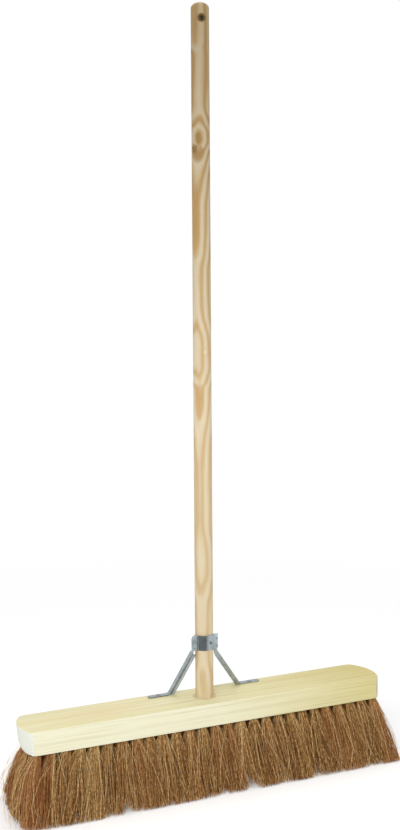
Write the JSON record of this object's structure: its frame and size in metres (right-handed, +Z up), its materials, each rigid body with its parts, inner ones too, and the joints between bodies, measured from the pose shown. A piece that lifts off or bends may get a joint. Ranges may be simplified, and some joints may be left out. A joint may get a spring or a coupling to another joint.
{
  "type": "indoor broom",
  "caption": "Push broom with a round wooden handle, a long wooden stock of brown natural-fibre bristles and a pressed-steel stay bracing the handle.",
  "frame": {"origin": "on the handle's axis at the level of the bristle tips, the middle of the bottom of the bounding box", "axes": "+Z up along the handle, X along the stock, and the broom's front, with the nailed side of the collar, faces -Y"},
  "size_m": [0.6416, 0.1192, 1.1953],
  "materials": {
    "pine": "smooth clear-finished pine",
    "stock_wood": "planed, unfinished pale wood",
    "coir": "loose natural coconut fibre",
    "zinc_steel": "galvanised pressed sheet",
    "fastener_steel": "plain zinc-plated steel"
  },
  "bodies": {
    "root": {"handle": "pine", "stock": "stock_wood", "bristles_front": "coir", "bristles_inner_front": "coir", "bristles_inner_rear": "coir", "bristles_rear": "coir", "stay_right_half": "zinc_steel", "stay_left_half": "zinc_steel", "ear_rivet_left_lower": "fastener_steel", "ear_rivet_left_upper": "fastener_steel", "ear_rivet_right_lower": "fastener_steel", "ear_rivet_right_upper": "fastener_steel", "collar_nail": "fastener_steel", "foot_screw_left": "fastener_steel", "foot_screw_right": "fastener_steel"}
  },
  "joints": []
}
